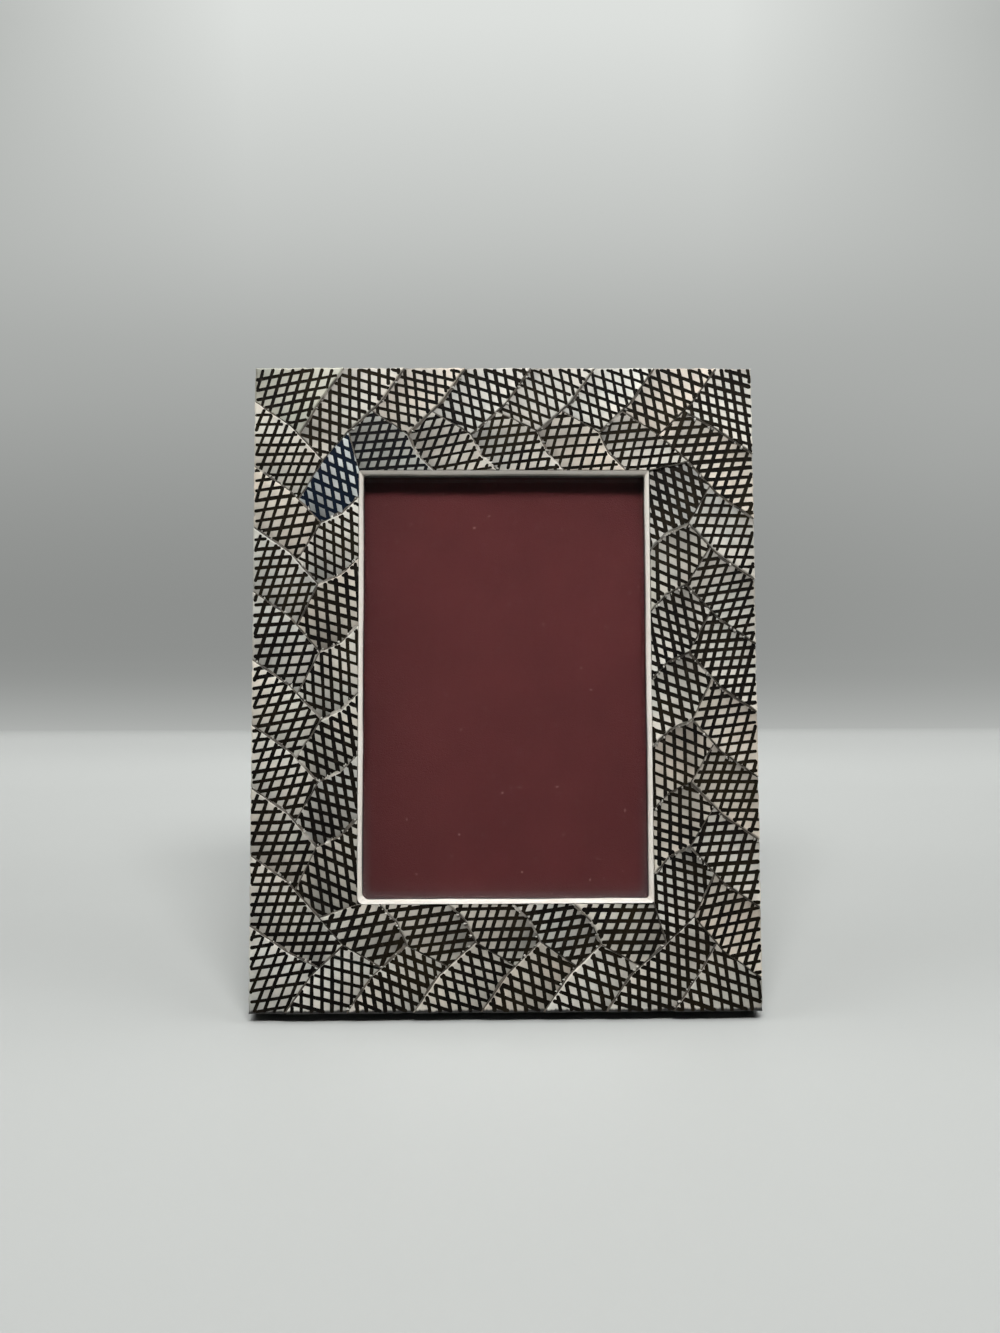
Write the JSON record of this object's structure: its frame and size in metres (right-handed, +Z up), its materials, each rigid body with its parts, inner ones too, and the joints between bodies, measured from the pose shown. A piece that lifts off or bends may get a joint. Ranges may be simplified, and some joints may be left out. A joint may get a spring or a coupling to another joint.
{
  "type": "photo frame",
  "caption": "Standing photo frame faced with tilted, cross-hatched bone tiles, with a glazed sight opening, a folding easel strut and a hanging ring.",
  "frame": {"origin": "on the ground, under the middle of the whole standing object", "axes": "+X to the right seen from the front, +Y to the back, +Z up; the face looks towards -Y and leans back"},
  "size_m": [0.165, 0.075, 0.2097],
  "materials": {
    "painted_wood": "black-painted wood, satin",
    "tile_bone": "polished bone, engraved and blackened cross-hatching",
    "strip_bone": "plain polished bone",
    "filler": "cast filler, sanded",
    "glass": "clear float glass",
    "velvet": "burgundy velvet, short pile",
    "ribbon": "woven ribbon",
    "card": "grey-brown card",
    "board": "raw fibreboard",
    "steel": "bright steel",
    "brass": "lacquered brass, slightly dulled"
  },
  "bodies": {
    "frame": {"rail_left": "painted_wood", "rail_bottom": "painted_wood", "rail_right": "painted_wood", "rail_top": "painted_wood", "corner_nails": "steel", "joint_filler": "filler", "inlay_left_outer": "tile_bone", "inlay_bottom_outer": "tile_bone", "inlay_right_outer": "tile_bone", "inlay_top_outer": "tile_bone", "inlay_left_inner": "tile_bone", "inlay_bottom_inner": "tile_bone", "inlay_right_inner": "tile_bone", "inlay_top_inner": "tile_bone", "bead_left": "strip_bone", "bead_bottom": "strip_bone", "bead_right": "strip_bone", "bead_top": "strip_bone", "edge_strip_left": "strip_bone", "edge_strip_bottom": "strip_bone", "edge_strip_right": "strip_bone", "edge_strip_top": "strip_bone", "glass_pane": "glass", "display_velvet": "velvet", "display_card": "card", "back_panel": "board", "panel_velvet": "velvet", "hinge_fixed_leaf": "brass", "hinge_pin": "steel", "hinge_panel_rivets": "brass", "stay_ribbon": "ribbon", "stay_panel_tack": "brass", "turn_button_screws": "brass", "hanger_strap": "brass", "hanger_screw": "brass"},
    "strut": {"strut_board": "board", "strut_velvet": "velvet", "hinge_moving_leaf": "brass", "hinge_strut_rivets": "brass", "stay_strut_tack": "brass"},
    "turn_button_upper_left": {"turn_button_upper_left": "brass"},
    "turn_button_upper_right": {"turn_button_upper_right": "brass"},
    "turn_button_lower_left": {"turn_button_lower_left": "brass"},
    "turn_button_lower_right": {"turn_button_lower_right": "brass"},
    "hanger_ring": {"hanger_ring": "brass"}
  },
  "joints": [
    {"name": "strut_hinge", "type": "hinge", "parent": "frame", "child": "strut", "pos_m": [0, 0.00924, 0.13856], "axis": [1, 0, 0], "range_deg": [-21, 0], "deforming": ["stay_ribbon"]},
    {"name": "turn_button_upper_left_turn", "type": "hinge", "parent": "frame", "child": "turn_button_upper_left", "pos_m": [-0.059, 0.01034, 0.14804], "axis": [0, 0.9781, -0.2079], "continuous": true},
    {"name": "turn_button_upper_right_turn", "type": "hinge", "parent": "frame", "child": "turn_button_upper_right", "pos_m": [0.059, 0.01034, 0.14804], "axis": [0, 0.9781, -0.2079], "continuous": true},
    {"name": "turn_button_lower_left_turn", "type": "hinge", "parent": "frame", "child": "turn_button_lower_left", "pos_m": [-0.059, -0.00879, 0.05805], "axis": [0, 0.9781, -0.2079], "continuous": true},
    {"name": "turn_button_lower_right_turn", "type": "hinge", "parent": "frame", "child": "turn_button_lower_right", "pos_m": [0.059, -0.00879, 0.05805], "axis": [0, 0.9781, -0.2079], "continuous": true},
    {"name": "hanger_swing", "type": "hinge", "parent": "frame", "child": "hanger_ring", "pos_m": [0, 0.02047, 0.19036], "axis": [1, 0, 0], "range_deg": [-11, 150]}
  ]
}
